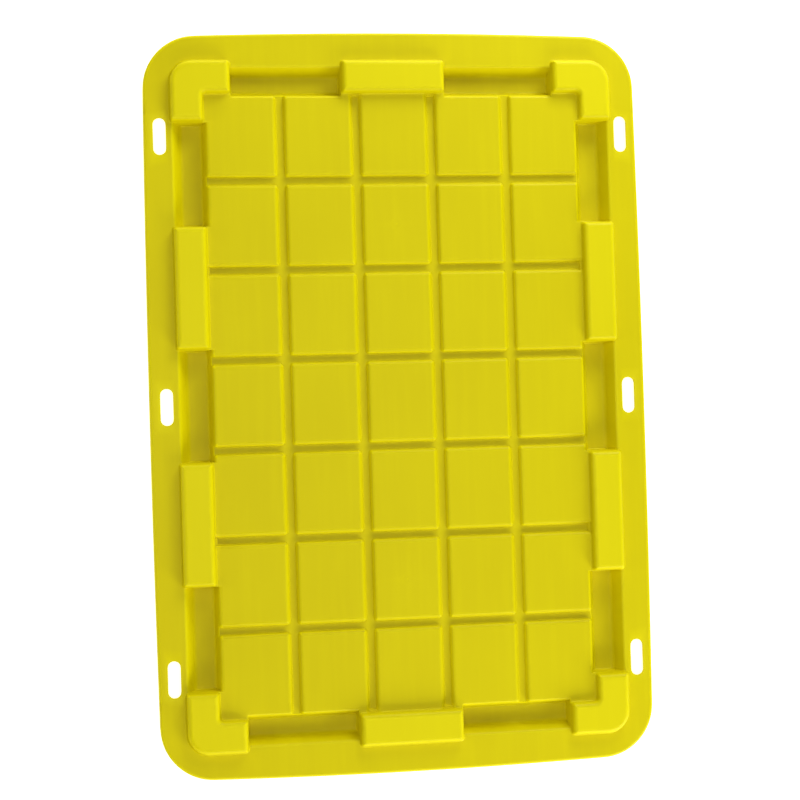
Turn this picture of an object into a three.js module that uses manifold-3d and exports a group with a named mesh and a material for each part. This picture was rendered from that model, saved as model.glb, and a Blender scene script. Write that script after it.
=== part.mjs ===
// Lid of a heavy-duty rectangular storage tote: one polypropylene moulding.
//
// Millimetres, +Z up. The origin is under the lid's centre, on the plane that its skirt stands on.
// +X runs across the lid, to the right, and +Y along it, to the back end.
//
// The lid is first made as the one thin-walled moulding that it is: an upper form, with everything that
// is hollow underneath cut away from below. It is then divided through its flat stretches into its rim,
// skirt, channels, stacking lugs and deck, so that each has its own name and its own solid.

import * as THREE from 'three';
import { mergeVertices } from 'three/addons/utils/BufferGeometryUtils.js';
import Module from 'manifold-3d';

// Overall form
const lidWidth = 527;
const lidLength = 778;
const cornerRadius = 56;
const sideBow = 2;
const endBow = 3;
const rimHeight = 22;
const wall = 2.5;
const rimEdgeRound = 3;

// Tie slots along both long sides
const slotWidth = 13;
const slotLength = 38;
const slotOffset = 245.5;
const slotSpacing = 280.5;

// Channel between the rim and the deck. Half sizes across and along, at its mouth and at its floor.
const channelDepth = 17;
const mouthHalf = { x: 231.5, y: 352.5 };
const floorHalf = { x: 224, y: 345.5 };

// Deck of raised tiles, flush with the rim. Half sizes at its top and at the channel floor.
const deckHalf = { x: 197, y: 322 };
const deckFootHalf = { x: 201.5, y: 326.5 };
const tileColumns = 5;
const tileRows = 7;
const tilePitch = { x: 80.15, y: 93.45 };
const grooveTopWidth = 10.5;
const grooveFloorWidth = 7.5;
const grooveDepth = 5.5;

// Stacking lugs: hollow boxes that stand across the channel and rise above the rim
const lugRise = 10;
const lugEdgeRound = 5;
const lugOuter = { x: 234.5, y: 359.5 };
const lugInner = { x: 199.5, y: 324.5 };
const sideLugEnds = [58.5, 186.5];
const endLugHalfLength = 55;
const cornerLugArmEnd = { x: 171, y: 295 };
const cornerLugRadius = 24;
const cornerLugInnerRadius = 4;

// Planes that divide the moulding, all through its flat stretches
const rimSeam = { x: 237, y: 362 };
const deckSeam = { x: 194, y: 319 };
const rimCornerSeam = 310;
const skirtSeam = 19;
const lugMargin = 2.5;

// Heights
const floorTop = rimHeight - channelDepth;
const floorUnderside = floorTop - wall;
const plateUnderside = rimHeight - wall;
const lugTop = rimHeight + lugRise;
const below = -10;
const above = lugTop + 10;
const overshoot = 1;

const arcSegments = 6;

const wasm = await Module();
wasm.setup();

// ---- Solids ----

// A closed three.js geometry as a manifold solid.
function toSolid(geometry) {
  const bare = new THREE.BufferGeometry();
  bare.setAttribute('position', geometry.getAttribute('position'));
  bare.setIndex(geometry.getIndex());
  const merged = mergeVertices(bare, 1e-4);
  return new wasm.Manifold(
    new wasm.Mesh({
      numProp: 3,
      vertProperties: merged.getAttribute('position').array,
      triVerts: new Uint32Array(merged.getIndex().array),
    }),
  );
}

// A manifold solid as a flat-shaded three.js geometry.
function toGeometry(solid) {
  const mesh = solid.getMesh();
  const indexed = new THREE.BufferGeometry();
  indexed.setAttribute('position', new THREE.BufferAttribute(mesh.vertProperties, 3));
  indexed.setIndex(new THREE.BufferAttribute(mesh.triVerts, 1));
  const geometry = indexed.toNonIndexed();
  geometry.computeVertexNormals();
  return geometry;
}

// All the solids joined into one.
function joined(solids) {
  return solids.reduce((whole, solid) => whole.add(solid));
}

// The outline raised from bottom to top. The top edge is rounded by edgeRound.
function prism(outline, bottom, top, edgeRound = 0) {
  const geometry = new THREE.ExtrudeGeometry(outline, {
    depth: top - bottom - 2 * edgeRound,
    curveSegments: arcSegments,
    bevelEnabled: edgeRound > 0,
    bevelThickness: edgeRound,
    bevelSize: edgeRound,
    bevelOffset: -edgeRound,
    bevelSegments: 3,
  });
  geometry.translate(0, 0, bottom + edgeRound);
  return toSolid(geometry);
}

// A box between two corners, given as [x, y, z].
function box(low, high) {
  const size = high.map((value, axis) => value - low[axis]);
  const geometry = new THREE.BoxGeometry(...size);
  geometry.translate(...low.map((value, axis) => value + size[axis] / 2));
  return toSolid(geometry);
}

// A four-sided block about the Z axis whose half sizes change evenly from the bottom to the top.
function taperedBlock(bottomHalf, bottom, topHalf, top) {
  const geometry = new THREE.BoxGeometry(2, 2, top - bottom);
  geometry.translate(0, 0, (top + bottom) / 2);
  const corners = geometry.getAttribute('position');
  for (let i = 0; i < corners.count; i += 1) {
    const half = corners.getZ(i) > (top + bottom) / 2 ? topHalf : bottomHalf;
    corners.setX(i, corners.getX(i) * half.x);
    corners.setY(i, corners.getY(i) * half.y);
  }
  return toSolid(geometry);
}

// The half sizes of a sloping wall carried on to another height.
function carriedTo(height, bottomHalf, bottom, topHalf, top) {
  const share = (height - bottom) / (top - bottom);
  return {
    x: bottomHalf.x + (topHalf.x - bottomHalf.x) * share,
    y: bottomHalf.y + (topHalf.y - bottomHalf.y) * share,
  };
}

// The half sizes moved outwards by a distance, or inwards where it is negative.
function grown(half, distance) {
  return { x: half.x + distance, y: half.y + distance };
}

// ---- Outlines ----

// The rim's outline, moved inwards: bowed sides that run into round corners.
function rimOutline(inset) {
  const x = lidWidth / 2 - sideBow - inset;
  const y = lidLength / 2 - endBow - inset;
  const radius = cornerRadius - inset;
  const shape = new THREE.Shape();
  shape.moveTo(x, radius - y);
  shape.quadraticCurveTo(x + 2 * sideBow, 0, x, y - radius);
  shape.absarc(x - radius, y - radius, radius, 0, Math.PI / 2);
  shape.quadraticCurveTo(0, y + 2 * endBow, radius - x, y);
  shape.absarc(radius - x, y - radius, radius, Math.PI / 2, Math.PI);
  shape.quadraticCurveTo(-x - 2 * sideBow, 0, -x, radius - y);
  shape.absarc(radius - x, radius - y, radius, Math.PI, 1.5 * Math.PI);
  shape.quadraticCurveTo(0, -y - 2 * endBow, x - radius, -y);
  shape.absarc(x - radius, radius - y, radius, 1.5 * Math.PI, 2 * Math.PI);
  return shape;
}

function rectangleOutline(lowX, lowY, highX, highY) {
  const shape = new THREE.Shape();
  shape.moveTo(lowX, lowY);
  shape.lineTo(highX, lowY);
  shape.lineTo(highX, highY);
  shape.lineTo(lowX, highY);
  shape.closePath();
  return shape;
}

// A slot with round ends, along Y.
function slotOutline(centreX, centreY) {
  const radius = slotWidth / 2;
  const straight = slotLength / 2 - radius;
  const shape = new THREE.Shape();
  shape.moveTo(centreX + radius, centreY - straight);
  shape.absarc(centreX, centreY + straight, radius, 0, Math.PI);
  shape.absarc(centreX, centreY - straight, radius, Math.PI, 2 * Math.PI);
  return shape;
}

// The L of the corner lug at +X and +Y, moved inwards: a round outer corner and two arms.
function cornerLugOutline(inset) {
  const outerX = lugOuter.x - inset;
  const outerY = lugOuter.y - inset;
  const innerX = lugInner.x + inset;
  const innerY = lugInner.y + inset;
  const endX = cornerLugArmEnd.x + inset;
  const endY = cornerLugArmEnd.y + inset;
  const outerRadius = cornerLugRadius - inset;
  const innerRadius = cornerLugInnerRadius + inset;
  const shape = new THREE.Shape();
  shape.moveTo(outerX, endY);
  shape.lineTo(outerX, outerY - outerRadius);
  shape.absarc(outerX - outerRadius, outerY - outerRadius, outerRadius, 0, Math.PI / 2);
  shape.lineTo(endX, outerY);
  shape.lineTo(endX, innerY);
  shape.absarc(innerX - innerRadius, innerY - innerRadius, innerRadius, Math.PI / 2, 0, true);
  shape.lineTo(innerX, endY);
  shape.closePath();
  return shape;
}

// A straight lug's outline, moved inwards.
function sideLugOutline(inset) {
  const [nearEnd, farEnd] = sideLugEnds;
  return rectangleOutline(lugInner.x + inset, nearEnd + inset, lugOuter.x - inset, farEnd - inset);
}

function endLugOutline(inset) {
  const half = endLugHalfLength - inset;
  return rectangleOutline(-half, lugInner.y + inset, half, lugOuter.y - inset);
}

// ---- Regions in plan ----

// A region through the moulding's full height, between two corners in plan.
function plan(lowX, lowY, highX, highY) {
  return box([lowX, lowY, below], [highX, highY, above]);
}

// A stretch of the border between deck and rim: along the right side, or across the back end.
function sideStretch(fromY, toY) {
  return plan(deckSeam.x, fromY, rimSeam.x, toY);
}

function endStretch(fromX, toX) {
  return plan(fromX, deckSeam.y, toX, rimSeam.y);
}

// A region of the lid's right side and back end, mirrored to the side and end that the signs say.
function placed(region, signX, signY) {
  const onSide = signX < 0 ? region.mirror([1, 0, 0]) : region;
  return signY < 0 ? onSide.mirror([0, 1, 0]) : onSide;
}

function onAllCorners(solid) {
  return [placed(solid, 1, 1), placed(solid, -1, 1), placed(solid, 1, -1), placed(solid, -1, -1)];
}

function onBothSides(solid) {
  return [solid, placed(solid, -1, 1)];
}

function onBothEnds(solid) {
  return [solid, placed(solid, 1, -1)];
}

// The stretches of border between the lugs, carried on past the lugs' end faces by a distance.
function stretchesBetweenLugs(carriedOn) {
  const [nearEnd, farEnd] = sideLugEnds;
  return joined([
    ...onBothSides(sideStretch(-nearEnd - carriedOn, nearEnd + carriedOn)),
    ...onAllCorners(sideStretch(farEnd - carriedOn, cornerLugArmEnd.y + carriedOn)),
    ...onAllCorners(endStretch(endLugHalfLength - carriedOn, cornerLugArmEnd.x + carriedOn)),
  ]);
}

// ---- The moulding ----

// The outside of a lug down to the channel floor's underside, and the hollow inside it.
function lugOutside(outlineOf) {
  const outside = prism(outlineOf(0), below, lugTop, lugEdgeRound);
  return outside.intersect(box([-lidWidth, -lidLength, floorUnderside], [lidWidth, lidLength, above]));
}

function lugHollow(outlineOf) {
  return prism(outlineOf(wall), below, lugTop - wall);
}

function allLugs(make) {
  return joined([
    ...onAllCorners(make(cornerLugOutline)),
    ...onAllCorners(make(sideLugOutline)),
    ...onBothEnds(make(endLugOutline)),
  ]);
}

// Where the grooves lie across the deck: midway between each two tiles.
function grooveCentres(count, pitch) {
  return Array.from({ length: count - 1 }, (_, i) => (i + 1 - count / 2) * pitch);
}

// Bars along every groove, each with a section that is narrower at its foot than at its top.
function grooveBars(topWidth, top, footWidth, foot) {
  const section = new THREE.Shape();
  section.moveTo(-footWidth / 2, foot);
  section.lineTo(footWidth / 2, foot);
  section.lineTo(topWidth / 2, top);
  section.lineTo(-topWidth / 2, top);
  section.closePath();
  const barAlong = (halfLength, turn, centreX, centreY) => {
    const geometry = new THREE.ExtrudeGeometry(section, { depth: 2 * halfLength, bevelEnabled: false });
    geometry.translate(0, 0, -halfLength);
    geometry.rotateX(Math.PI / 2);
    geometry.rotateZ(turn);
    geometry.translate(centreX, centreY, 0);
    return toSolid(geometry);
  };
  const reach = grown(deckFootHalf, overshoot);
  const lengthwise = grooveCentres(tileColumns, tilePitch.x).map((x) => barAlong(reach.y, 0, x, 0));
  const crosswise = grooveCentres(tileRows, tilePitch.y).map((y) => barAlong(reach.x, Math.PI / 2, 0, y));
  return joined([...lengthwise, ...crosswise]);
}

// The upper form: the rim's block, the channel and the grooves cut from above, and the lugs.
function upperForm() {
  const aboveRim = rimHeight + overshoot;
  const mouthAbove = carriedTo(aboveRim, floorHalf, floorTop, mouthHalf, rimHeight);
  const deckAbove = carriedTo(aboveRim, deckFootHalf, floorTop, deckHalf, rimHeight);
  const channel = taperedBlock(floorHalf, floorTop, mouthAbove, aboveRim);
  const deck = taperedBlock(deckFootHalf, floorTop, deckAbove, aboveRim);
  const grooveSlope = (grooveTopWidth - grooveFloorWidth) / grooveDepth;
  const grooves = grooveBars(
    grooveTopWidth + grooveSlope * overshoot, aboveRim, grooveFloorWidth, rimHeight - grooveDepth,
  );
  return prism(rimOutline(0), below, rimHeight, rimEdgeRound)
    .subtract(channel.subtract(deck).intersect(stretchesBetweenLugs(wall / 2)))
    .subtract(grooves)
    .add(allLugs(lugOutside));
}

// Everything that is hollow underneath: the space for the tote's rim, under the deck and in the lugs.
function lowerHollows() {
  const channelBack = grown(mouthHalf, wall);
  const channelFoot = carriedTo(floorUnderside, grown(floorHalf, wall), floorTop, channelBack, rimHeight);
  const shellPlan = plan(-deckSeam.x, -deckSeam.y, deckSeam.x, deckSeam.y)
    .add(stretchesBetweenLugs(1.5 * wall));
  const channelShell = taperedBlock(channelFoot, floorUnderside, channelBack, rimHeight).intersect(shellPlan);
  const aroundShell = prism(rimOutline(wall), below, plateUnderside).subtract(channelShell);
  const underDeck = taperedBlock(
    grown(deckFootHalf, -wall), floorUnderside - overshoot, grown(deckHalf, -wall), plateUnderside,
  );
  const grooveBacks = grooveBars(
    grooveTopWidth + 2 * wall, rimHeight, grooveFloorWidth + 2 * wall, rimHeight - grooveDepth - wall,
  );
  return aroundShell
    .subtract(allLugs(lugOutside))
    .add(underDeck)
    .subtract(grooveBacks)
    .add(allLugs(lugHollow));
}

function slots() {
  const rows = [-slotSpacing, 0, slotSpacing];
  const right = joined(rows.map((y) => prism(slotOutline(slotOffset, y), below, above)));
  return right.add(right.mirror([1, 0, 0]));
}

const standingPlane = box([-lidWidth, -lidLength, 0], [lidWidth, lidLength, above]);
const moulding = upperForm().intersect(standingPlane).subtract(lowerHollows()).subtract(slots());

// ---- The parts of the moulding ----

const polypropylene = new THREE.MeshStandardMaterial({ color: '#d8c40c', roughness: 0.42, metalness: 0 });
const lid = new THREE.Group();

function addPart(name, region) {
  const part = new THREE.Mesh(toGeometry(moulding.intersect(region)), polypropylene);
  part.name = name;
  lid.add(part);
}

const sides = [['left', -1], ['right', 1]];
const ends = [['front', -1], ['back', 1]];

const sideLugRegion = sideStretch(sideLugEnds[0] - lugMargin, sideLugEnds[1] + lugMargin);
const endLugReach = endLugHalfLength + lugMargin;
const cornerReach = grown(cornerLugArmEnd, -lugMargin);
const cornerRegion = sideStretch(cornerReach.y, rimSeam.y).add(endStretch(cornerReach.x, rimSeam.x));
const middleReach = sideLugEnds[0] - lugMargin;
const farChannel = sideStretch(sideLugEnds[1] + lugMargin, cornerReach.y);
const endChannel = endStretch(endLugReach, cornerReach.x);

addPart('deck_panel', plan(-deckSeam.x, -deckSeam.y, deckSeam.x, deckSeam.y));

for (const [side, signX] of sides) {
  addPart(`channel_${side}_middle`, placed(sideStretch(-middleReach, middleReach), signX, 1));
  for (const [end, signY] of ends) {
    addPart(`side_lug_${end}_${side}`, placed(sideLugRegion, signX, signY));
    addPart(`channel_${side}_${end}`, placed(farChannel, signX, signY));
    addPart(`corner_lug_${end}_${side}`, placed(cornerRegion, signX, signY));
    addPart(`channel_${end}_${side}`, placed(endChannel, signX, signY));
  }
}

for (const [end, signY] of ends) {
  addPart(`end_lug_${end}`, placed(endStretch(-endLugReach, endLugReach), 1, signY));
}

// The rim's plate and the skirt that hangs from it, each in four stretches.
const insideRim = plan(-rimSeam.x, -rimSeam.y, rimSeam.x, rimSeam.y);
const plateLevel = box([-lidWidth, -lidLength, skirtSeam], [lidWidth, lidLength, above]);
const rightStretch = plan(0, -rimCornerSeam, lidWidth, rimCornerSeam).subtract(insideRim);
const backStretch = plan(-lidWidth, rimCornerSeam, lidWidth, lidLength).subtract(insideRim);
const rimStretches = [
  ...sides.map(([side, sign]) => [side, placed(rightStretch, sign, 1)]),
  ...ends.map(([end, sign]) => [end, placed(backStretch, 1, sign)]),
];
for (const [place, stretch] of rimStretches) {
  addPart(`rim_${place}`, stretch.intersect(plateLevel));
  addPart(`skirt_${place}`, stretch.subtract(plateLevel));
}

export default lid;
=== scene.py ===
# %% [markdown]
# # The lid of a heavy-duty storage tote
#
# The lid is one injection moulding in yellow polypropylene, about 527 by 778 mm and 32 mm high. A flat rim
# with six tie slots runs round a sunken channel, hollow stacking lugs stand across the channel, and a deck
# of shallow tiles fills the middle.
#
# Real mouldings have no sharp edges: each wall leans a little so that it leaves the mould, and each edge is
# rounded. The CAD frame gives the sizes and the names. This lesson makes every region again with its
# leaning walls and rounded edges, as two height maps (upper skin and underside) on one grid of lines, or as
# a section carried round the rim.

import math

import bmesh
import bpy
import numpy as np
from mathutils import Matrix, Vector


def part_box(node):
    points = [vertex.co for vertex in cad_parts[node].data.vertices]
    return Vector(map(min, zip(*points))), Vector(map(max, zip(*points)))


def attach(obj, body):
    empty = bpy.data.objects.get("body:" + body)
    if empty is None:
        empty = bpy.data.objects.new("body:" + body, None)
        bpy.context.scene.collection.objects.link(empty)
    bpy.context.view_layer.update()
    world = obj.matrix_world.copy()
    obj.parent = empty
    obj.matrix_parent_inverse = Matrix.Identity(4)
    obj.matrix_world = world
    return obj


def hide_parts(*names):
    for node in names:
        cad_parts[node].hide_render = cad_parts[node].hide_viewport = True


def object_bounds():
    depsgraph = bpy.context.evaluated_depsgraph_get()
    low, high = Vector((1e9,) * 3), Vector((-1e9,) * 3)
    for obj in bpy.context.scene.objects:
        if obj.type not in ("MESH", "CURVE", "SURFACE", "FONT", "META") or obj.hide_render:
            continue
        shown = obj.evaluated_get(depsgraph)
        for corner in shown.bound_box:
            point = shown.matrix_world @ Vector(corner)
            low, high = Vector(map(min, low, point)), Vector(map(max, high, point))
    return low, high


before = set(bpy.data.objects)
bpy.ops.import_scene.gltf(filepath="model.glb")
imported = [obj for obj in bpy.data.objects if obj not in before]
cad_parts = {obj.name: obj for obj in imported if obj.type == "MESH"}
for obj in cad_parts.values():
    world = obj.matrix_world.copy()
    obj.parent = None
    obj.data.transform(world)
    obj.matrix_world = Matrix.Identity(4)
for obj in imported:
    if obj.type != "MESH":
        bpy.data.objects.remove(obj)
cad_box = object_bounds()
print("CAD box in metres:", [tuple(round(v, 4) for v in corner) for corner in cad_box])

# %% [markdown]
# ## Sizes
#
# Sizes are in millimetres, as on a maker's drawing. Overall sizes and heights are read from the frame, so
# that they can't drift from it. The smaller ones are the drawing's own.

# %% Sizes, in millimetres
MM = 0.001


def frame_size(node, axis, end):
    """One face of a CAD node's box in millimetres: end 0 is its low face and end 1 its high face."""
    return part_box(node)[end][axis] / MM


half_width, half_length, lug_top = (value / MM for value in cad_box[1])
rim_top = frame_size("rim_left", 2, 1)
skirt_seam = frame_size("skirt_left", 2, 1)
floor_underside = frame_size("channel_left_middle", 2, 0)
deck_seam = (frame_size("deck_panel", 0, 1), frame_size("deck_panel", 1, 1))
print(f"half size {half_width:.1f} x {half_length:.1f}, rim at {rim_top:.1f}, lugs at {lug_top:.1f}")

wall = 2.5
floor_top = floor_underside + wall
plate_underside = rim_top - wall
lug_rise = lug_top - rim_top

deck_edge = (197.0, 322.0)       # half size of the deck at its top
mouth_edge = (231.5, 352.5)      # half size of the channel's mouth
floor_edge = (224.0, 345.5)      # where the outer wall meets the channel's floor
deck_wall_run = 4.5              # how far the deck's wall leans out on its way down
lug_outer = (234.5, 359.5)
lug_inner = (199.5, 324.5)
side_lug_ends = (58.5, 186.5)
end_lug_end = 55.0
corner_arm_end = (171.0, 295.0)
rim_seam = (237.0, 362.0)
rim_corner_seam = 310.0

groove_width, groove_depth = 10.5, 5.5
groove_lines = (np.array([40.075, 120.225]), np.array([46.725, 140.175, 233.625]))
gate_y = 4 * groove_lines[1][0]  # the gates stand at the centres of two tiles on the middle line
tile_corner_radius = 2.2
lug_corner_radius = 3.5
lug_bend_radius = (24.0, 4.0)    # outside and inside of the corner lugs' bend

# %% [markdown]
# ## Rounded sections
#
# A wall is drawn as a few corner points, and each corner is then replaced by a circular arc that touches
# both of its straight lines. The result is a chain of (distance, height) points. A height is looked up on
# it with plain interpolation, and the same distances say where the grid needs lines.


# %% Rounded sections
def rounded_section(corners, radii, steps=5):
    """A chain through the corners in which each inner corner is an arc of its radius. The arc's centre is on
    the line that halves the corner, and its points turn evenly from one straight line to the next."""
    chain = [np.array(corners[0], float)]
    for before, corner, after, radius in zip(corners, corners[1:], corners[2:], radii):
        before, corner, after = (np.array(point, float) for point in (before, corner, after))
        back = (before - corner) / np.linalg.norm(before - corner)
        on = (after - corner) / np.linalg.norm(after - corner)
        half_angle = math.acos(np.clip(back @ on, -1, 1)) / 2
        middle = (back + on) / np.linalg.norm(back + on)
        centre = corner + middle * radius / math.sin(half_angle)
        start = corner + back * radius / math.tan(half_angle) - centre
        end = corner + on * radius / math.tan(half_angle) - centre
        turn = math.pi - 2 * half_angle
        share = np.linspace(0, 1, steps + 1)[:, None]
        arc = np.sin((1 - share) * turn) * start + np.sin(share * turn) * end
        chain.extend(centre + arc / math.sin(turn))
    chain.append(np.array(corners[-1], float))
    return np.array(chain).T


def height_on(section, distance):
    """The section's height at each distance."""
    return np.interp(distance, section[0], section[1])


FAR = 60.0                       # where a section's flats end, beyond every distance looked up on it
groove_floor = rim_top - groove_depth
groove_run = deck_wall_run * groove_depth / (rim_top - floor_top)
rib_foot = groove_floor - wall
mouth_runs = [mouth - foot for mouth, foot in zip(mouth_edge, floor_edge)]
pocket_end_run = 0.9             # how far a channel's end wall leans under a lug
lug_lean, hollow_lean = 1.9, 1.7
groove_fade = 0.4                # the grooves come up to the plate's height within this, under a lug's face
tile_lip, mouth_lips, lug_lip = 4.0, (3.5, 3.0), 5.0      # radii along the upper edges


def wall_section(top, run, foot, radii, moved=0.0, steps=5):
    """A flat, a wall that leans out by its run on its way down, and another flat. Moved shifts the wall
    inwards, for the back of a wall."""
    corners = [(-FAR, top), (-moved, top), (run - moved, foot), (FAR, foot)]
    return rounded_section(corners, radii, steps)


# Upper skin. Distances grow outwards from a tile or lug, and inwards from the channel's mouth.
tile_wall = wall_section(rim_top, deck_wall_run, floor_top, [tile_lip, 3.5])
groove_wall = wall_section(rim_top, groove_run, groove_floor, [tile_lip, 0.8], steps=4)
mouth_wall = [wall_section(rim_top, run, floor_top, [lip, 5.0]) for run, lip in zip(mouth_runs, mouth_lips)]
pocket_end = wall_section(rim_top, pocket_end_run, floor_top, [0.4, 2.2])
lug_wall = wall_section(lug_rise, lug_lean, 0, [lug_lip, 1.6], moved=lug_lean)

# Underside: the same walls, moved by the wall's thickness.
tile_back = wall_section(plate_underside, deck_wall_run, floor_underside, [1.0, 1.0], moved=wall)
groove_back = wall_section(plate_underside, groove_run, rib_foot, [0.8, 0.8], moved=wall, steps=3)
mouth_back = [
    wall_section(plate_underside, run, floor_underside, [0.6, 1.5], moved=wall) for run in mouth_runs
]
pocket_end_back = wall_section(plate_underside, pocket_end_run, floor_underside, [0.4, 0.8], moved=wall)
lug_hollow = wall_section(lug_rise, hollow_lean, 0, [lug_lip - wall, 0.6], moved=wall + hollow_lean)
print("points on the lug's section:", lug_wall.shape[1])

# %% [markdown]
# ## Distances in plan
#
# Everything on the lid is the same in its four quarters, so the plan is worked out for positive x and y
# only. Two straight walls meet in a rounded corner: near it the distance is measured from the corner's
# centre, and elsewhere it is simply the larger of the two.


# %% Distances in plan
def meet(first, second, radius):
    """How far a point lies outside two walls that meet in a corner of that radius: the larger of the two
    distances, but the distance from the corner's centre less the radius where both walls are near."""
    near = (first > -radius) & (second > -radius)
    return np.where(near, np.hypot(first + radius, second + radius) - radius, np.maximum(first, second))


def outside_tile(value, lines):
    """How far a coordinate lies outside the tiles: half a groove's width less the distance to the nearest
    groove."""
    return groove_width / 2 - np.min([np.abs(value - line) for line in lines], axis=0)


def lug_distance(x, y):
    """The distance outside the nearest lug: two rectangles, and an L made from a block with a rounded outer
    corner, less the block in its bend, cut off by the ends of its arms."""
    centre = [(inner + outer) / 2 for inner, outer in zip(lug_inner, lug_outer)]
    half = [(outer - inner) / 2 for inner, outer in zip(lug_inner, lug_outer)]
    near_end, far_end = side_lug_ends
    beyond_ends = np.abs(y - (near_end + far_end) / 2) - (far_end - near_end) / 2
    side = meet(np.abs(x - centre[0]) - half[0], beyond_ends, lug_corner_radius)
    end = meet(x - end_lug_end, np.abs(y - centre[1]) - half[1], lug_corner_radius)
    bend_outside = meet(x - lug_outer[0], y - lug_outer[1], lug_bend_radius[0])
    bend_inside = -meet(x - lug_inner[0], y - lug_inner[1], lug_bend_radius[1])
    arm_ends = np.maximum(corner_arm_end[0] - x, corner_arm_end[1] - y)
    corner = meet(np.maximum(bend_outside, bend_inside), arm_ends, lug_corner_radius)
    return np.min([side, end, corner], axis=0)


def into_side_pocket(y):
    """How far y lies inside a stretch of the side channel, between the lugs."""
    near_end, far_end = side_lug_ends
    return np.maximum(near_end - y, np.minimum(y - far_end, corner_arm_end[1] - y))


def into_end_pocket(x):
    """How far x lies inside a stretch of the end channel, between the lugs."""
    return np.minimum(x - end_lug_end, corner_arm_end[0] - x)


# %% [markdown]
# ## The two skins
#
# The upper skin starts as a flat plate. Pockets and grooves are cut by taking the lowest of several
# surfaces, a pocket's own walls are joined by taking the highest, and the lugs are added on top. The
# underside is worked out in the same way from the walls' backs.


# %% Height maps
def upper_skin(x, y):
    """Height of the upper skin: the least of the grooved plate and the pockets, plus the lugs' rise."""
    across, along = outside_tile(x, groove_lines[0]), outside_tile(y, groove_lines[1])
    under_lug = np.clip(np.maximum(x - lug_inner[0], y - lug_inner[1]) / groove_fade, 0, 1)
    grooved = height_on(groove_wall, meet(across, along, tile_corner_radius))
    height = grooved + (rim_top - grooved) * under_lug
    sides = (
        (x - deck_edge[0], across, along, mouth_edge[0] - x, into_side_pocket(y), mouth_wall[0]),
        (y - deck_edge[1], along, across, mouth_edge[1] - y, into_end_pocket(x), mouth_wall[1]),
    )
    for off_deck, own, other, from_mouth, from_end, outer_wall in sides:
        tile = meet(np.maximum(own, off_deck), other, tile_corner_radius)
        groove_mouth = np.clip(rim_top - off_deck * groove_depth / groove_run, floor_top, rim_top)
        deck = np.maximum(height_on(tile_wall, tile), np.minimum(height_on(groove_wall, tile), groove_mouth))
        pocket = np.max([deck, height_on(outer_wall, from_mouth), height_on(pocket_end, from_end)], axis=0)
        height = np.minimum(height, pocket)
    return height + height_on(lug_wall, lug_distance(x, y)) - gate_dimple(x, y)


def gate_dimple(x, y):
    """The plastic enters the mould at two gates. Each leaves a shallow dimple with a small nub in it."""
    dimple_depth, dimple_radius = 0.25, 4.2
    nub_height, nub_radius = 0.18, 1.8
    radius = np.hypot(x, y - gate_y)
    dimple = dimple_depth * np.exp(-(radius / dimple_radius) ** 4)
    return dimple - nub_height * np.exp(-(radius / nub_radius) ** 2)


def underside(x, y):
    """Height of the underside, with ribs behind the grooves and a hollow in each lug."""
    across, along = outside_tile(x, groove_lines[0]), outside_tile(y, groove_lines[1])
    under_lug = np.clip((np.maximum(x - lug_inner[0], y - lug_inner[1]) + wall) / groove_fade, 0, 1)
    ribbed = height_on(groove_back, np.maximum(across, along))
    height = ribbed + (plate_underside - ribbed) * under_lug
    sides = (
        (x - deck_edge[0], mouth_edge[0] - x, into_side_pocket(y), mouth_back[0]),
        (y - deck_edge[1], mouth_edge[1] - y, into_end_pocket(x), mouth_back[1]),
    )
    for off_deck, from_mouth, from_end, outer_back in sides:
        backs = [
            height_on(tile_back, off_deck),
            height_on(outer_back, from_mouth),
            height_on(pocket_end_back, from_end),
        ]
        height = np.minimum(height, np.max(backs, axis=0))
    return height + height_on(lug_hollow, lug_distance(x, y))


# %% [markdown]
# ## Grid lines
#
# A grid of even squares would need a million of them to show a 2 mm edge. Here the lines gather where a
# section bends and stay far apart where it is flat, and one more line guards each bend so that its soft
# shading doesn't spread over the flat. At the corner lugs' bend the straight lines are turned into arcs, so
# that the bend's walls follow the grid too.


# %% Grid lines
def lines_for(section, edge, direction):
    """Lines at the section's own distances from an edge, and a guard line half a millimetre before and
    after."""
    bends = section[0][1:-1]
    return edge + direction * np.concatenate([[bends[0] - 0.5], bends, [bends[-1] + 0.5]])


def groove_group(axis):
    groups = []
    for line in groove_lines[axis]:
        for side in (-1, 1):
            edge = line + side * groove_width / 2
            groups += [lines_for(groove_wall, edge, -side), lines_for(groove_back, edge, -side), [line]]
    return np.concatenate(groups)


def border_group(axis):
    """Lines for the deck's edge and the channel's outer wall."""
    return np.concatenate([
        lines_for(tile_wall, deck_edge[axis], 1), lines_for(tile_back, deck_edge[axis], 1),
        lines_for(mouth_wall[axis], mouth_edge[axis], -1), lines_for(mouth_back[axis], mouth_edge[axis], -1),
    ])


def lug_side_group(axis):
    """Lines for both long faces of a lug."""
    return np.concatenate([
        lines_for(section, edge, direction)
        for section in (lug_wall, lug_hollow)
        for edge, direction in ((lug_inner[axis], -1), (lug_outer[axis], 1))
    ])


def lug_end_group(edge, direction):
    """Lines for a lug's end face and the pocket's end under it. The direction points away from the lug."""
    sections = (lug_wall, lug_hollow, pocket_end, pocket_end_back)
    return np.concatenate([lines_for(section, edge, direction) for section in sections])


def grid_lines(low, high, *groups, widest=16.0):
    """The groups' lines between two ends, both ways from the middle, without near doubles, and with even
    lines added wherever two would be further apart than the widest step."""
    lines = np.concatenate([np.asarray(group, float) for group in groups] + [[]])
    lines = np.concatenate([lines, -lines])
    lines = np.sort(lines[(lines > low + 0.1) & (lines < high - 0.1)])
    kept = [low]
    for line in [*lines, high]:
        gap = line - kept[-1]
        if gap < 0.09:
            continue
        kept.extend(kept[-1] + gap * np.arange(1, math.ceil(gap / widest)) / math.ceil(gap / widest))
        kept.append(line)
    return np.array(kept)


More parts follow.
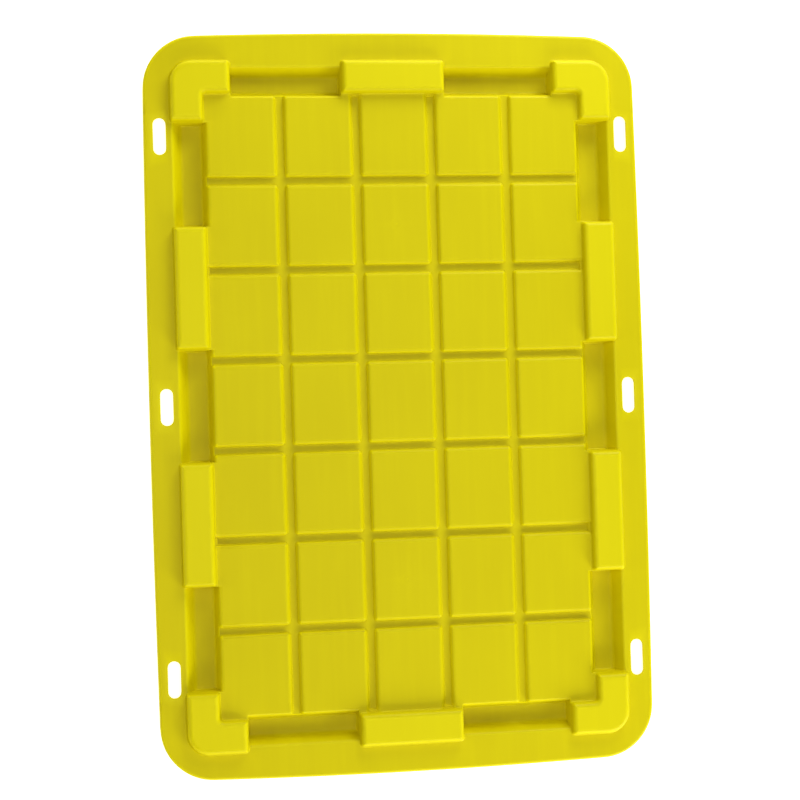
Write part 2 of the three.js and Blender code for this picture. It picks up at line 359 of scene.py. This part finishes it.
def follow_bend(x, y):
    """Turns square rings about a bend's centre into round ones: a point's larger coordinate becomes its
    radius, and the share of the smaller in the larger becomes its angle. Round the inner bend, the rings
    become square again further out."""
    bends = (
        (lug_inner[0] - lug_bend_radius[1], lug_inner[1] - lug_bend_radius[1], 8.5, 17.5),
        (lug_outer[0] - lug_bend_radius[0], lug_outer[1] - lug_bend_radius[0], 1e3, 2e3),
    )
    new_x, new_y = x.copy(), y.copy()
    for centre_x, centre_y, round_to, square_from in bends:
        p, q = x - centre_x, y - centre_y
        ring = np.maximum(p, q)
        swept = np.minimum(p, q) / np.maximum(ring, 1e-9)
        angle = np.where(q > p, math.pi / 2, 0) + np.where(q > p, -1, 1) * math.pi / 4 * swept
        share = np.clip((ring - round_to) / (square_from - round_to), 0, 1)
        share = share * share * (3 - 2 * share)
        bent = (p > 0) & (q > 0) & (share < 1)
        new_x = np.where(bent, centre_x + ring * np.cos(angle) * (1 - share) + p * share, new_x)
        new_y = np.where(bent, centre_y + ring * np.sin(angle) * (1 - share) + q * share, new_y)
    return new_x, new_y


# %% [markdown]
# ## From height maps to solid pieces
#
# Each region is a closed solid: the upper skin, the underside, and a narrow wall that joins them all round.
# Neighbouring regions share the same functions, so their edges meet exactly and the joins don't show.


# %% Solid pieces
def finished(name, verts, faces, nodes, weld=False):
    """Makes the mesh object in metres, with soft shading that stays crisp at sharp angles, and hides the CAD
    nodes it stands for."""
    mesh = bpy.data.meshes.new(name)
    mesh.from_pydata((np.asarray(verts) * MM).tolist(), [], faces)
    if weld:
        weld_and_turn_out(mesh)
    mesh.validate()
    mesh.shade_smooth()
    mesh.set_sharp_from_angle(angle=math.radians(38))
    # The raised_edge values drive a painted highlight on raised edges in the finish, and a smoother finish
    # there.
    mark_raised_edges(mesh)
    piece = bpy.data.objects.new(name, mesh)
    bpy.context.scene.collection.objects.link(piece)
    piece.data.materials.append(moulded_polypropylene)
    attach(piece, "root")
    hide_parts(*nodes)
    print(f"{name}: {len(mesh.polygons)} faces")
    return piece


def weld_and_turn_out(mesh):
    """Merges points that share a place, then turns every face outwards."""
    work = bmesh.new()
    work.from_mesh(mesh)
    bmesh.ops.remove_doubles(work, verts=work.verts, dist=2e-6)
    bmesh.ops.recalc_face_normals(work, faces=work.faces)
    work.to_mesh(mesh)
    work.free()


def mark_raised_edges(mesh):
    """Stores how far each point stands out from its neighbours, from 0 on a flat or in a hollow to 1 on an
    outer edge: the mean of how steeply the mesh falls away along its edges. Points on the upright walls where
    two regions join are left at 0, so that the joins don't show."""
    full_fall = 0.12
    count = len(mesh.vertices)
    points, normals = np.empty(count * 3), np.empty(count * 3)
    mesh.vertices.foreach_get("co", points)
    mesh.vertices.foreach_get("normal", normals)
    edges = np.empty(len(mesh.edges) * 2, np.int64)
    mesh.edges.foreach_get("vertices", edges)
    points, normals, edges = points.reshape(-1, 3), normals.reshape(-1, 3), edges.reshape(-1, 2)
    fall, number = np.zeros(count), np.zeros(count)
    for here, there in (edges.T, edges[:, ::-1].T):
        step = points[there] - points[here]
        length = np.maximum(np.linalg.norm(step, axis=1), 1e-9)
        np.add.at(fall, here, -(step * normals[here]).sum(axis=1) / length)
        np.add.at(number, here, 1)
    raised = np.clip(fall / np.maximum(number, 1) / full_fall, 0, 1)
    facing, corners = np.empty(len(mesh.polygons) * 3), np.empty(len(mesh.loops), np.int64)
    sizes = np.empty(len(mesh.polygons), np.int64)
    mesh.polygons.foreach_get("normal", facing)
    mesh.polygons.foreach_get("loop_total", sizes)
    mesh.loops.foreach_get("vertex_index", corners)
    upright = np.abs(facing.reshape(-1, 3)[:, 2]) < 1e-4
    raised[corners[np.repeat(upright, sizes)]] = 0
    layer = mesh.attributes.new("raised_edge", "FLOAT", "POINT")
    layer.data.foreach_set("value", raised.astype(np.float32))


def skin_piece(name, x_lines, y_lines, keep_cell=None):
    """A closed solid between the two skins over a grid of lines. Cells whose middle fails keep_cell are left
    out, and a wall stands along every edge where a kept cell has no kept neighbour."""
    x, y = np.meshgrid(x_lines, y_lines)
    plan_x, plan_y = follow_bend(np.abs(x), np.abs(y))
    top, low = upper_skin(plan_x, plan_y), underside(plan_x, plan_y)
    x, y = np.where(x < 0, -plan_x, plan_x), np.where(y < 0, -plan_y, plan_y)
    verts = np.concatenate([np.stack([x, y, skin], -1).reshape(-1, 3) for skin in (top, low)])
    rows, columns = x.shape
    count = rows * columns
    index = np.arange(count).reshape(rows, columns)
    a, b, c, d = index[:-1, :-1], index[:-1, 1:], index[1:, 1:], index[1:, :-1]
    kept = np.ones(a.shape, bool)
    if keep_cell is not None:
        kept = keep_cell((x_lines[:-1] + x_lines[1:])[None, :] / 2, (y_lines[:-1] + y_lines[1:])[:, None] / 2)
    ring = np.pad(kept, 1)
    faces = [np.stack([a, b, c, d], -1)[kept], np.stack([d, c, b, a], -1)[kept] + count]
    borders = (
        (a, b, ring[:-2, 1:-1]),
        (b, c, ring[1:-1, 2:]),
        (c, d, ring[2:, 1:-1]),
        (d, a, ring[1:-1, :-2]),
    )
    for start, end, neighbour in borders:
        bare = kept & ~neighbour
        faces.append(np.stack([start + count, end + count, end, start], -1)[bare])
    faces = np.concatenate(faces)
    used, faces = np.unique(faces, return_inverse=True)
    return finished(name, verts[used], faces.reshape(-1, 4).tolist(), [name])


# %% [markdown]
# ## The finish: moulded polypropylene
#
# Polypropylene leaves the mould with a soft satin skin. Its pigment is even, but where the melt flowed far
# the colour is cloudy by a shade or two, and faint streaks run along the flow. A lightly etched mould gives
# the skin a fine grain. Raised edges are rubbed smoother in use, and they and the lugs' tops are painted
# paler: a painted highlight where they catch the light.
#
# Colours are given as sRGB hex values and turned to linear light by one function.


# %% Colour and node helpers
def linear(hex_colour):
    """An sRGB hex colour as linear RGBA: each channel over 255, then the sRGB curve undone."""
    channels = np.array([int(hex_colour[i:i + 2], 16) for i in (1, 3, 5)]) / 255
    straight = np.where(channels <= 0.04045, channels / 12.92, ((channels + 0.055) / 1.055) ** 2.4)
    return (*straight.tolist(), 1.0)


def add_node(tree, kind, settings=(), inputs=(), links=()):
    """Adds one node: settings are its properties, inputs its socket values, and links the sockets that feed
    it."""
    node = tree.nodes.new(kind)
    for key, value in dict(settings).items():
        setattr(node, key, value)
    for key, value in dict(inputs).items():
        node.inputs[key].default_value = value
    for key, source in dict(links).items():
        tree.links.new(source, node.inputs[key])
    return node


# %% Moulded polypropylene
def make_polypropylene():
    material = bpy.data.materials.new("moulded_polypropylene")
    material.use_nodes = True
    tree = material.node_tree
    tree.nodes.clear()
    place = add_node(tree, "ShaderNodeTexCoord").outputs["Object"]
    # Clouds of pigment about 110 mm across: 9 to the metre.
    clouds = add_node(tree, "ShaderNodeTexNoise", inputs={"Scale": 9.0, "Detail": 3.0},
                      links={"Vector": place})
    # Flow streaks 8 mm wide and 15 times as long, along the lid.
    stretched = add_node(tree, "ShaderNodeMapping", inputs={"Scale": (125.0, 8.0, 60.0)},
                         links={"Vector": place})
    streaks = add_node(tree, "ShaderNodeTexNoise", inputs={"Scale": 1.0, "Detail": 2.0},
                       links={"Vector": stretched.outputs["Vector"]})
    # The etched grain is 0.3 mm, too fine to show, so it is drawn at 1.2 mm: 830 to the metre.
    grain = add_node(tree, "ShaderNodeTexNoise", inputs={"Scale": 830.0, "Detail": 2.0},
                     links={"Vector": place})
    raised = add_node(tree, "ShaderNodeAttribute", settings={"attribute_name": "raised_edge"})

    shade = add_node(tree, "ShaderNodeMix", settings={"data_type": "RGBA"},
                     inputs={"A": linear("#D4C500"), "B": linear("#DDD000")},
                     links={"Factor": clouds.outputs["Fac"]})
    streak_share = add_node(tree, "ShaderNodeMapRange",
                            inputs={"From Min": 0.45, "From Max": 0.75, "To Max": 0.22},
                            links={"Value": streaks.outputs["Fac"]})
    streaked = add_node(tree, "ShaderNodeMix", settings={"data_type": "RGBA"},
                        inputs={"B": linear("#E3D700")},
                        links={"Factor": streak_share.outputs["Result"], "A": shade.outputs["Result"]})
    # Painted light: the lugs are painted paler with height, as their tops catch more light. The paler shade
    # starts 4 mm above the rim and is full at their tops.
    height = add_node(tree, "ShaderNodeSeparateXYZ", links={"Vector": place}).outputs["Z"]
    painted_lug_light_share = add_node(tree, "ShaderNodeMapRange",
                         inputs={"From Min": (rim_top + 4) * MM, "From Max": lug_top * MM, "To Max": 0.35},
                         links={"Value": height})
    # Painted highlight share: 0.6 on fully raised edges, plus the lugs' painted light.
    painted_highlight_share = add_node(tree, "ShaderNodeMath", settings={"operation": "MULTIPLY_ADD", "use_clamp": True},
                            inputs={1: 0.6}, links={0: raised.outputs["Fac"], 2: painted_lug_light_share.outputs["Result"]})
    # Painted highlight: where that share is high, the colour is mixed towards a paler yellow, #F6EC08.
    colour = add_node(tree, "ShaderNodeMix", settings={"data_type": "RGBA"}, inputs={"B": linear("#F6EC08")},
                      links={"Factor": painted_highlight_share.outputs["Value"], "A": streaked.outputs["Result"]})
    # Satin: roughness 0.40 to 0.50 with the grain, smoother where rubbed.
    satin = add_node(tree, "ShaderNodeMapRange",
                     inputs={"From Min": 0.3, "From Max": 0.7, "To Min": 0.40, "To Max": 0.50},
                     links={"Value": grain.outputs["Fac"]})
    smoother = add_node(tree, "ShaderNodeMath", settings={"operation": "MULTIPLY_ADD"}, inputs={1: -0.10},
                        links={0: raised.outputs["Fac"], 2: satin.outputs["Result"]})
    bump = add_node(tree, "ShaderNodeBump", inputs={"Strength": 0.10, "Distance": 0.0002},
                    links={"Height": grain.outputs["Fac"]})
    shader = add_node(tree, "ShaderNodeBsdfPrincipled", inputs={"IOR": 1.49, "Specular IOR Level": 0.13},
                      links={"Base Color": colour.outputs["Result"], "Roughness": smoother.outputs["Value"],
                             "Normal": bump.outputs["Normal"]})
    add_node(tree, "ShaderNodeOutputMaterial", links={"Surface": shader.outputs["BSDF"]})
    return material


moulded_polypropylene = make_polypropylene()
print("nodes in the finish:", len(moulded_polypropylene.node_tree.nodes))

# %% [markdown]
# ## Deck
#
# The deck is a plate of five by seven tiles. The grooves between them stiffen the plate, and their backs
# are the ribs that show underneath.

# %% Deck
gate_lines = np.linspace(-6, 6, 9)
deck_x = grid_lines(-deck_seam[0], deck_seam[0], groove_group(0), gate_lines, widest=40.0)
deck_y = grid_lines(-deck_seam[1], deck_seam[1], groove_group(1), gate_y + gate_lines, widest=40.0)
skin_piece("deck_panel", deck_x, deck_y)

# %% [markdown]
# ## Channels and lugs along the sides
#
# A region's lines are those for what it contains: the deck's edge and the channel's outer wall on every
# stretch, the grooves that open into it, and the lug's faces where it has a lug.


# %% Channels and lugs along the sides
def signed_lines(low, high, sign, *groups):
    """Grid lines between two ends of the positive side, moved to the negative side where the sign is -1."""
    lines = grid_lines(low, high, *groups)
    return lines if sign > 0 else -lines[::-1]


near_end, far_end = side_lug_ends
margin = 2.5
side_lug_lines = np.concatenate([lug_end_group(near_end, -1), lug_end_group(far_end, 1)])
for side, sign_x in (("left", -1), ("right", 1)):
    channel_x = signed_lines(deck_seam[0], rim_seam[0], sign_x, border_group(0))
    lug_x = signed_lines(deck_seam[0], rim_seam[0], sign_x, border_group(0), lug_side_group(0))
    middle_y = grid_lines(margin - near_end, near_end - margin, groove_group(1), side_lug_lines)
    skin_piece(f"channel_{side}_middle", channel_x, middle_y)
    for end, sign_y in (("front", -1), ("back", 1)):
        lug_y = signed_lines(near_end - margin, far_end + margin, sign_y, groove_group(1), side_lug_lines)
        skin_piece(f"side_lug_{end}_{side}", lug_x, lug_y)
        channel_y = signed_lines(far_end + margin, corner_arm_end[1] - margin, sign_y,
                                 groove_group(1), side_lug_lines, lug_end_group(corner_arm_end[1], -1))
        skin_piece(f"channel_{side}_{end}", channel_x, channel_y)

# %% [markdown]
# ## Channels and lugs across the ends

# %% Channels and lugs across the ends
end_lug_lines = lug_end_group(end_lug_end, 1)
arm_lines = lug_end_group(corner_arm_end[0], -1)
for end, sign_y in (("front", -1), ("back", 1)):
    channel_y = signed_lines(deck_seam[1], rim_seam[1], sign_y, border_group(1))
    lug_y = signed_lines(deck_seam[1], rim_seam[1], sign_y, border_group(1), lug_side_group(1))
    lug_x = grid_lines(-end_lug_end - margin, end_lug_end + margin, groove_group(0), end_lug_lines)
    skin_piece(f"end_lug_{end}", lug_x, lug_y)
    for side, sign_x in (("left", -1), ("right", 1)):
        channel_x = signed_lines(end_lug_end + margin, corner_arm_end[0] - margin, sign_x,
                                 groove_group(0), end_lug_lines, arm_lines)
        skin_piece(f"channel_{end}_{side}", channel_x, channel_y)

# %% [markdown]
# ## Corner lugs
#
# A corner lug is an L with a generous outer bend. Its grid is the same in x and in y apart from a shift, so
# that the rings round the bend close where the two halves meet.

# %% Corner lugs
shift = deck_seam[1] - deck_seam[0]
bend_groups = (border_group(0), lug_side_group(0), border_group(1) - shift)
bend_lines = grid_lines(deck_seam[0], rim_seam[0], *bend_groups, widest=3.0)
arm_x = grid_lines(corner_arm_end[0] - margin, deck_seam[0], arm_lines)
arm_y = grid_lines(corner_arm_end[1] - margin, deck_seam[1], lug_end_group(corner_arm_end[1], -1))
corner_x = np.concatenate([arm_x[:-1], bend_lines])
corner_y = np.concatenate([arm_y[:-1], bend_lines + shift])


def off_the_deck(x, y):
    return (np.abs(x) > deck_seam[0]) | (np.abs(y) > deck_seam[1])


for side, sign_x in (("left", -1), ("right", 1)):
    for end, sign_y in (("front", -1), ("back", 1)):
        skin_piece(f"corner_lug_{end}_{side}", corner_x if sign_x > 0 else -corner_x[::-1],
                   corner_y if sign_y > 0 else -corner_y[::-1], off_the_deck)

# %% [markdown]
# ## Rim and skirt
#
# The rim is a section carried round the lid. At each step along the way there is a point on the inner seam
# and a point on the outline, which bows out a little at the sides and ends. The section runs over the
# plate, round the outer edge and down. Each tie slot is a patch of rings that grow from the slot's rounded
# lip to the edge of its patch.

# %% Rim outline
corner_radius, edge_round = 56.0, 3.0
bow = (2.0, 3.0)
straight_half = (half_width - bow[0], half_length - bow[1])
arc_centre = (straight_half[0] - corner_radius, straight_half[1] - corner_radius)
bend_centre = (lug_outer[0] - lug_bend_radius[0], lug_outer[1] - lug_bend_radius[0])
bend_reach = rim_seam[0] - bend_centre[0]
slot_offset, slot_spacing, slot_radius, slot_straight, slot_lip = 245.5, 280.5, 6.5, 12.5, 0.5
patch_half = 30.0


def side_run(y):
    """Points up the right side: (seam, outline, outward direction). The outline is a parabola whose middle
    stands out by the bow."""
    share = y / bend_centre[1]
    seam = np.stack([np.full_like(y, rim_seam[0]), y], -1)
    outline = np.stack([straight_half[0] + bow[0] * (1 - share ** 2), arc_centre[1] * share], -1)
    slope = np.stack([np.ones_like(y), 2 * bow[0] * share / arc_centre[1]], -1)
    return seam, outline, slope / np.linalg.norm(slope, axis=1)[:, None]


def end_run(x):
    """Points along the back end, in the same way."""
    share = x / bend_centre[0]
    seam = np.stack([x, np.full_like(x, rim_seam[1])], -1)
    outline = np.stack([arc_centre[0] * share, straight_half[1] + bow[1] * (1 - share ** 2)], -1)
    slope = np.stack([2 * bow[1] * share / arc_centre[0], np.ones_like(x)], -1)
    return seam, outline, slope / np.linalg.norm(slope, axis=1)[:, None]


def corner_run():
    """Points round the corner at +x and +y: both lines are arcs, turned through the same angles as the
    corner lug's own rings."""
    reach = bend_lines[bend_lines > bend_centre[0] + 0.05] - bend_centre[0]
    first = math.pi / 4 * reach / bend_reach
    angle = np.concatenate([first, (math.pi / 2 - first)[::-1][1:]])
    out = np.stack([np.cos(angle), np.sin(angle)], -1)
    return np.array(bend_centre) + bend_reach * out, np.array(arc_centre) + corner_radius * out, out


def chained(*runs):
    return tuple(np.concatenate(parts) for parts in zip(*runs))


def mirrored(run):
    """A run mirrored in x, in the opposite order."""
    return tuple((part * np.array([-1, 1]))[::-1] for part in run)


patch_lines = patch_half * np.linspace(-1, 1, 17)
even_lines = np.linspace(-230, 230, 17)
side_y = np.unique(np.concatenate([
    [-rim_corner_seam, rim_corner_seam],
    *(slot_spacing * k + patch_lines for k in (-1, 0, 1)),
    even_lines,
]))
side_y = side_y[np.abs(side_y) <= rim_corner_seam]
before_bend = 324.0
quarter = chained(side_run(np.array([rim_corner_seam, before_bend])), corner_run())
right_chain = side_run(side_y)
end_x = np.linspace(bend_centre[0], -bend_centre[0], 33)
back_chain = chained(quarter, end_run(end_x[1:-1]), mirrored(quarter))
print("points along the right rim and the back rim:", len(right_chain[0]), len(back_chain[0]))

# %% [markdown]
# The section starts on the flat plate and turns over the edge. The patch round a slot near a corner is cut
# short at the seam there, so that it stays within its own rim.

# %% Rim plates
flat_inset = 3.6
flat_shares = np.linspace(0, 1, 5)
edge_turns = np.radians(np.linspace(0, 90, 6))
over_edge = [
    (edge_round * (1 - math.sin(turn)), skirt_seam + edge_round * math.cos(turn)) for turn in edge_turns
]
under_edge = [(wall, skirt_seam), (wall + 0.1, plate_underside - 0.15), (wall + 0.45, plate_underside)]


def rim_rows(chain):
    """The closed section at every point of a chain, as rows of points: over the plate, down the edge, and
    back under the plate."""
    seam, outline, out = chain
    plate_edge = outline - flat_inset * out

    def flat(share, height):
        plan = seam + (plate_edge - seam) * share
        return np.column_stack([plan, np.full(len(plan), height)])

    def at_edge(inset, height):
        return np.column_stack([outline - inset * out, np.full(len(out), height)])

    rows = [flat(share, rim_top) for share in flat_shares]
    rows += [at_edge(*step) for step in over_edge] + [at_edge(*step) for step in under_edge]
    rows += [flat(share, plate_underside) for share in flat_shares[::-1]]
    return np.array(rows)


def carried(rows, open_cells=None):
    """Faces between neighbouring rows and points of a closed section, with a flat face over each end. Cells
    marked open are left out."""
    count, length = rows.shape[:2]
    index = np.arange(count * length).reshape(count, length)
    a, b = index[:, :-1], index[:, 1:]
    cells = np.stack([a, b, np.roll(b, -1, axis=0), np.roll(a, -1, axis=0)], -1)
    kept = np.ones(cells.shape[:2], bool) if open_cells is None else ~open_cells
    return cells[kept].tolist() + [index[:, 0].tolist(), index[::-1, -1].tolist()]


def slot_patch(rows, first, last, centre_y):
    """Rings from the patch's edge to the slot's lip, down through the plate and out again underneath. A
    ring's points leave the slot's straight middle line in the direction of the patch's edge points."""
    levels = len(flat_shares)
    top = np.concatenate([rows[0, first:last], rows[:levels - 1, last], rows[levels - 1, last:first:-1],
                          rows[levels - 1:0:-1, first]])
    spine = np.column_stack([np.full(len(top), slot_offset), np.clip(top[:, 1], centre_y - slot_straight,
                                                                      centre_y + slot_straight)])
    away = top[:, :2] - spine
    away /= np.linalg.norm(away, axis=1)[:, None]
    turns = np.radians(np.linspace(0, 90, 4))
    lip = [(slot_lip * (1 - math.sin(turn)), slot_lip * (1 - math.cos(turn))) for turn in turns]
    steps = [(inset, rim_top - drop) for inset, drop in lip]
    steps += [(inset, plate_underside + drop) for inset, drop in lip[::-1]]
    rings = [top]
    for inset, height in steps:
        rings.append(np.column_stack([spine + away * (slot_radius + inset), np.full(len(top), height)]))
    rings.append(top * np.array([1, 1, 0]) + np.array([0, 0, plate_underside]))
    return np.array(rings)


def patch_faces(rings, start):
    index = start + np.arange(rings.shape[0] * rings.shape[1]).reshape(rings.shape[:2])
    a, b = index, np.roll(index, -1, axis=1)
    return np.stack([a[:-1], a[1:], b[1:], b[:-1]], -1).reshape(-1, 4).tolist()


def rim_piece(name, chain, slot_centres, turn):
    rows = rim_rows(chain)
    levels, total = len(flat_shares), rows.shape[0]
    open_cells = np.zeros((total, rows.shape[1] - 1), bool)
    patches = []
    for centre_y in slot_centres:
        patch_ends = [centre_y + side * patch_reach(centre_y, side) for side in (-1, 1)]
        first, last = (int(np.argmin(np.abs(chain[0][:, 1] - patch_end))) for patch_end in patch_ends)
        open_cells[:levels - 1, first:last] = True
        open_cells[total - levels:total - 1, first:last] = True
        patches.append(slot_patch(rows, first, last, centre_y))
    verts, faces = [rows.reshape(-1, 3)], carried(rows, open_cells)
    for rings in patches:
        faces += patch_faces(rings, sum(len(part) for part in verts))
        verts.append(rings.reshape(-1, 3))
    verts = np.concatenate(verts) * np.array([turn, turn, 1])
    return finished(name, verts, faces, [name], weld=True)


def patch_reach(centre_y, side):
    """How far a patch runs from its slot's centre: short of the seam where the slot is near the corner."""
    return min(patch_half, rim_corner_seam - side * centre_y)


slot_centres = (-slot_spacing, 0.0, slot_spacing)
rim_piece("rim_right", right_chain, slot_centres, 1)
rim_piece("rim_left", right_chain, slot_centres, -1)
rim_piece("rim_back", back_chain, (), 1)
rim_piece("rim_front", back_chain, (), -1)

# %% [markdown]
# The skirt hangs from the rim's edge and stands on the table. Its lower edge is rounded on both sides.

# %% Skirt
skirt_round, skirt_middle = 1.2, 10.0
skirt_turns = np.radians(np.linspace(0, 90, 5))
skirt_section = [(0, skirt_seam), (0, skirt_middle)]
skirt_section += [
    (skirt_round * (1 - math.cos(turn)), skirt_round * (1 - math.sin(turn))) for turn in skirt_turns
]
skirt_section += [(wall - inset, height) for inset, height in skirt_section[::-1]]


def skirt_piece(name, chain, turn):
    _, outline, out = chain
    rows = np.array([
        np.column_stack([outline - inset * out, np.full(len(out), height)]) for inset, height in skirt_section
    ])
    verts = rows.reshape(-1, 3) * np.array([turn, turn, 1])
    return finished(name, verts, carried(rows), [name], weld=True)


for name, chain, turn in (
    ("right", right_chain, 1), ("left", right_chain, -1), ("back", back_chain, 1), ("front", back_chain, -1),
):
    skirt_piece(f"skirt_{name}", chain, turn)

# %% [markdown]
# ## Floor, camera and light
#
# The lid lies on a pale floor. The camera looks down on it from almost straight above, a little from the
# left, from 1.9 m away. Soft lights stand low all round, strongest at the front and the right, and a wide
# one hangs above. The low ones make the lips shine and leave the channel in shade. The floor glows, so that
# it shows white round the lid and through its slots.

# %% Floor
half_floor = 6.0                 # in metres
floor_corners = [(x * half_floor, y * half_floor, 0) for x, y in ((-1, -1), (1, -1), (1, 1), (-1, 1))]
floor_mesh = bpy.data.meshes.new("floor")
floor_mesh.from_pydata(floor_corners, [], [(0, 1, 2, 3)])
floor = bpy.data.objects.new("floor", floor_mesh)
bpy.context.scene.collection.objects.link(floor)
floor_paint = bpy.data.materials.new("white_table")
floor_paint.use_nodes = True
floor_shader = floor_paint.node_tree.nodes["Principled BSDF"]
floor_shader.inputs["Base Color"].default_value = linear("#F8F8F8")
floor_shader.inputs["Roughness"].default_value = 0.8
floor_shader.inputs["Emission Color"].default_value = linear("#FFFFFF")
floor_shader.inputs["Emission Strength"].default_value = 0.9
floor_mesh.materials.append(floor_paint)

# %% Camera
camera_data = bpy.data.cameras.new("camera")
camera = bpy.data.objects.new("camera", camera_data)
bpy.context.scene.collection.objects.link(camera)
bpy.context.scene.camera = camera
camera_data.sensor_width = 36.0
camera_data.lens = 81.0
camera_data.clip_end = 30.0
tilt, swing, roll = (math.radians(angle) for angle in (-1.07, 8.64, 1.58))
lid_turn = Matrix.Rotation(roll, 3, "Z") @ Matrix.Rotation(swing, 3, "Y") @ Matrix.Rotation(tilt, 3, "X")
rim_centre = Vector((0, 0, rim_top * MM))
eye_from_rim = Vector((-0.0023, 0.0010, 1.893))       # in metres, along the camera's own axes
eye = lid_turn.transposed() @ eye_from_rim + rim_centre
camera.matrix_world = Matrix.Translation(eye) @ lid_turn.transposed().to_4x4()
print("camera at", tuple(round(v, 3) for v in eye))


# %% Light
def softbox(name, place, size, power, tint):
    """A square lamp that faces the lid."""
    lamp = bpy.data.lights.new(name, "AREA")
    lamp.shape, lamp.size, lamp.energy, lamp.color = "SQUARE", size, power, linear(tint)[:3]
    holder = bpy.data.objects.new(name, lamp)
    holder.location = place
    holder.rotation_euler = (-Vector(place)).to_track_quat("-Z", "Y").to_euler()
    bpy.context.scene.collection.objects.link(holder)


softbox("near_right_lamp", (0.6, 1.2, 0.7), 0.6, 12.3, "#F6FBFF")
softbox("front_right_softbox", (1.1, -1.3, 0.6), 0.8, 18.0, "#FAFDFF")
softbox("front_softbox", (0.1, -2.1, 1.0), 1.2, 18.0, "#FFFBF0")
softbox("left_softbox", (-2.0, 0.0, 1.1), 1.2, 9.9, "#FFFBF0")
softbox("low_back_softbox", (0.0, 1.8, 0.4), 0.8, 7.7, "#FFFBF0")
softbox("top_softbox", (0.0, 0.0, 2.6), 1.6, 15.6, "#FFFFFF")

world = bpy.data.worlds.new("studio")
world.use_nodes = True
world.node_tree.nodes["Background"].inputs["Color"].default_value = linear("#FFF6D0")
world.node_tree.nodes["Background"].inputs["Strength"].default_value = 0.11
bpy.context.scene.world = world
# Colours are shown as they are, because a film-like response would wash out a yellow as deep as this one.
bpy.context.scene.view_settings.view_transform = "Standard"
